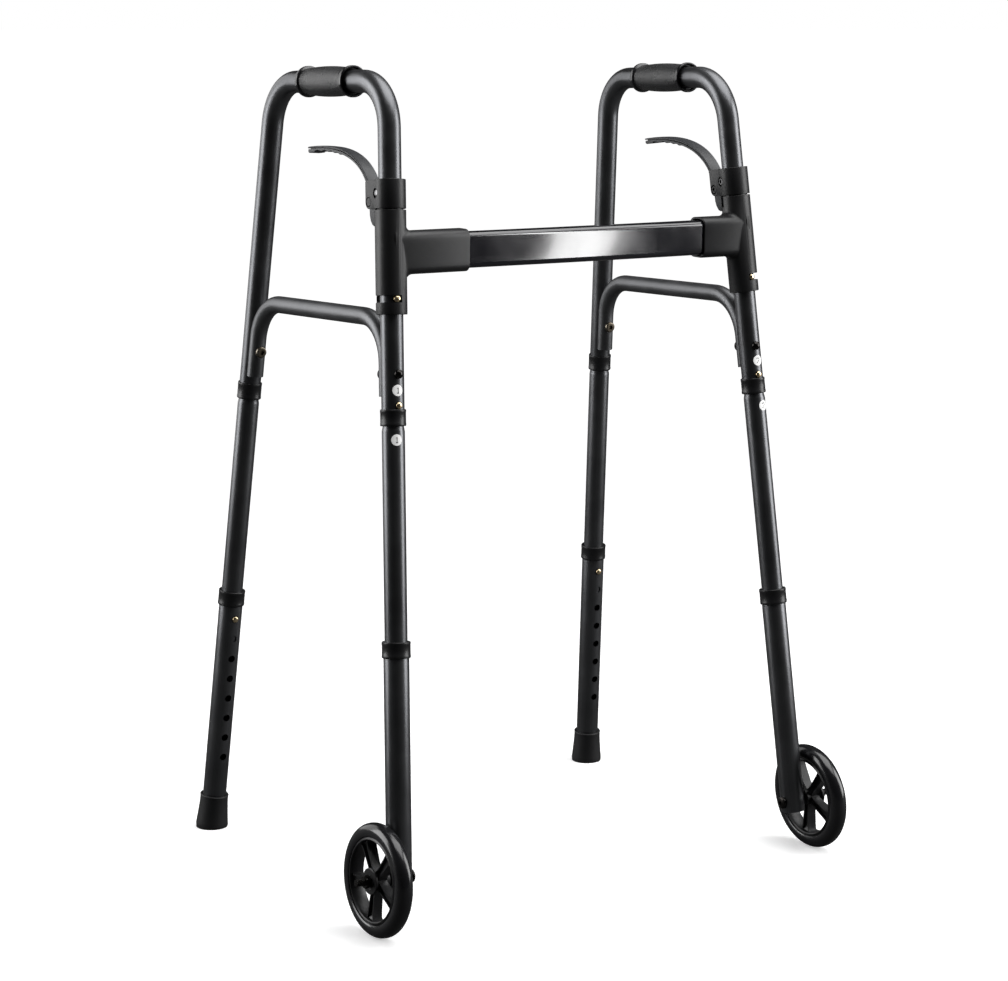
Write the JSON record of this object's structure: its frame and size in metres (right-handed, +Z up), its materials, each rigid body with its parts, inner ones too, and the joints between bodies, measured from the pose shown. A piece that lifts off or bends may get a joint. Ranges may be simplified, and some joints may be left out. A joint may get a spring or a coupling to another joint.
{
  "type": "folding walking frame",
  "caption": "Folding walking frame: bent-tube side frames hinged on a front crossbar, hand grips with release levers, telescopic legs, front wheels and rear tips",
  "frame": {"origin": "centre of the bounding box at floor level", "axes": "+Z up; -Y forward, the way the user walks; +X to the user's left"},
  "size_m": [0.6646, 0.5313, 0.9411],
  "materials": {
    "tube": "dark grey anodised, satin",
    "brace": "mid grey anodised, satin",
    "bar": "gloss black powder coat",
    "moulded": "fine textured black",
    "lever": "fine textured charcoal",
    "foam": "fine grained black soft grip",
    "ring": "smooth black",
    "brass": "polished button",
    "steel": "dark zinc plated",
    "hub": "black nylon",
    "tyre": "smooth black",
    "rubber": "matte black"
  },
  "bodies": {
    "bar": {"crossbar": "bar", "right_hinge_housing": "moulded", "left_hinge_housing": "moulded"},
    "right_frame": {"right_frame_tube": "tube", "right_grip": "foam", "right_brace": "brace", "right_brace_bolt_front": "steel", "right_brace_bolt_rear": "steel", "right_trigger_collar": "moulded", "right_lever_pin": "steel", "right_collar_rivet": "steel", "right_lever_spring": "steel", "right_front_upper_ring": "ring", "right_rear_upper_ring": "ring", "right_front_mid_tube": "tube", "right_rear_mid_tube": "tube"},
    "right_lever": {"right_trigger_lever": "lever"},
    "right_front_foot": {"right_front_lower_tube": "tube", "right_front_lower_ring": "ring", "right_axle_bolt": "steel", "right_axle_nut": "steel"},
    "right_rear_foot": {"right_rear_lower_tube": "tube", "right_rear_lower_ring": "ring", "right_tip": "rubber"},
    "right_rolling": {"right_wheel": "hub", "right_tyre": "tyre"},
    "right_fold_button_body": {"right_fold_button": "brass"},
    "right_front_upper_button_body": {"right_front_upper_button": "brass"},
    "right_rear_upper_button_body": {"right_rear_upper_button": "brass"},
    "right_front_lower_button_body": {"right_front_lower_button": "brass"},
    "right_rear_lower_button_body": {"right_rear_lower_button": "brass"},
    "left_frame": {"left_frame_tube": "tube", "left_grip": "foam", "left_brace": "brace", "left_brace_bolt_front": "steel", "left_brace_bolt_rear": "steel", "left_trigger_collar": "moulded", "left_lever_pin": "steel", "left_collar_rivet": "steel", "left_lever_spring": "steel", "left_front_upper_ring": "ring", "left_rear_upper_ring": "ring", "left_front_mid_tube": "tube", "left_rear_mid_tube": "tube"},
    "left_lever": {"left_trigger_lever": "lever"},
    "left_front_foot": {"left_front_lower_tube": "tube", "left_front_lower_ring": "ring", "left_axle_bolt": "steel", "left_axle_nut": "steel"},
    "left_rear_foot": {"left_rear_lower_tube": "tube", "left_rear_lower_ring": "ring", "left_tip": "rubber"},
    "left_rolling": {"left_wheel": "hub", "left_tyre": "tyre"},
    "left_fold_button_body": {"left_fold_button": "brass"},
    "left_front_upper_button_body": {"left_front_upper_button": "brass"},
    "left_rear_upper_button_body": {"left_rear_upper_button": "brass"},
    "left_front_lower_button_body": {"left_front_lower_button": "brass"},
    "left_rear_lower_button_body": {"left_rear_lower_button": "brass"}
  },
  "joints": [
    {"name": "right_fold", "type": "hinge", "parent": "bar", "child": "right_frame", "pos_m": [-0.23926, -0.11914, 0.73331], "axis": [-0.0551, -0.1224, -0.991], "range_deg": [0, 83]},
    {"name": "right_trigger", "type": "hinge", "parent": "right_frame", "child": "right_lever", "pos_m": [-0.23622, -0.0893, 0.79464], "axis": [0.9982, 0.0167, -0.0575], "range_deg": [0, 12], "stiffness_Nm_per_rad": 0.15, "springref_deg": -17.19},
    {"name": "right_front_height", "type": "slide", "parent": "right_frame", "child": "right_front_foot", "axis": [0.0551, 0.1224, 0.991], "range_m": [0, 0.1778], "deforming": ["right_front_lower_button"]},
    {"name": "right_rear_height", "type": "slide", "parent": "right_frame", "child": "right_rear_foot", "axis": [0.0505, -0.1037, 0.9933], "range_m": [0, 0.1778], "deforming": ["right_rear_lower_button"]},
    {"name": "right_wheel_spin", "type": "hinge", "parent": "right_front_foot", "child": "right_rolling", "pos_m": [-0.30401, -0.20251, 0.06352], "axis": [-0.9982, -0.0167, 0.0575], "continuous": true},
    {"name": "right_fold_button_press", "type": "slide", "parent": "right_frame", "child": "right_fold_button_body", "axis": [0.0982, 0.987, -0.1273], "range_m": [0, 0.0045], "stiffness_N_per_m": 400, "springref_m": -0.002},
    {"name": "right_front_upper_button_press", "type": "slide", "parent": "right_frame", "child": "right_front_upper_button_body", "axis": [-0.0236, 0.9923, -0.1212], "range_m": [0, 0.004], "stiffness_N_per_m": 400, "springref_m": -0.002},
    {"name": "right_rear_upper_button_press", "type": "slide", "parent": "right_frame", "child": "right_rear_upper_button_body", "axis": [0.0115, -0.9945, -0.1044], "range_m": [0, 0.004], "stiffness_N_per_m": 400, "springref_m": -0.002},
    {"name": "right_front_lower_button_press", "type": "slide", "parent": "right_frame", "child": "right_front_lower_button_body", "axis": [0.0236, -0.9923, 0.1212], "range_m": [0, 0.004], "stiffness_N_per_m": 400, "springref_m": -0.002},
    {"name": "right_rear_lower_button_press", "type": "slide", "parent": "right_frame", "child": "right_rear_lower_button_body", "axis": [-0.0115, 0.9945, 0.1044], "range_m": [0, 0.004], "stiffness_N_per_m": 400, "springref_m": -0.002},
    {"name": "left_fold", "type": "hinge", "parent": "bar", "child": "left_frame", "pos_m": [0.23926, -0.11914, 0.73331], "axis": [-0.0551, 0.1224, 0.991], "range_deg": [0, 70]},
    {"name": "left_trigger", "type": "hinge", "parent": "left_frame", "child": "left_lever", "pos_m": [0.23622, -0.0893, 0.79464], "axis": [0.9982, -0.0167, 0.0575], "range_deg": [0, 12], "stiffness_Nm_per_rad": 0.15, "springref_deg": -17.19},
    {"name": "left_front_height", "type": "slide", "parent": "left_frame", "child": "left_front_foot", "axis": [-0.0551, 0.1224, 0.991], "range_m": [0, 0.1778], "deforming": ["left_front_lower_button"]},
    {"name": "left_rear_height", "type": "slide", "parent": "left_frame", "child": "left_rear_foot", "axis": [-0.0505, -0.1037, 0.9933], "range_m": [0, 0.1778], "deforming": ["left_rear_lower_button"]},
    {"name": "left_wheel_spin", "type": "hinge", "parent": "left_front_foot", "child": "left_rolling", "pos_m": [0.30401, -0.20251, 0.06352], "axis": [0.9982, -0.0167, 0.0575], "continuous": true},
    {"name": "left_fold_button_press", "type": "slide", "parent": "left_frame", "child": "left_fold_button_body", "axis": [-0.0982, 0.987, -0.1273], "range_m": [0, 0.0045], "stiffness_N_per_m": 400, "springref_m": -0.002},
    {"name": "left_front_upper_button_press", "type": "slide", "parent": "left_frame", "child": "left_front_upper_button_body", "axis": [0.0236, 0.9923, -0.1212], "range_m": [0, 0.004], "stiffness_N_per_m": 400, "springref_m": -0.002},
    {"name": "left_rear_upper_button_press", "type": "slide", "parent": "left_frame", "child": "left_rear_upper_button_body", "axis": [-0.0115, -0.9945, -0.1044], "range_m": [0, 0.004], "stiffness_N_per_m": 400, "springref_m": -0.002},
    {"name": "left_front_lower_button_press", "type": "slide", "parent": "left_frame", "child": "left_front_lower_button_body", "axis": [-0.0236, -0.9923, 0.1212], "range_m": [0, 0.004], "stiffness_N_per_m": 400, "springref_m": -0.002},
    {"name": "left_rear_lower_button_press", "type": "slide", "parent": "left_frame", "child": "left_rear_lower_button_body", "axis": [0.0115, 0.9945, 0.1044], "range_m": [0, 0.004], "stiffness_N_per_m": 400, "springref_m": -0.002}
  ]
}
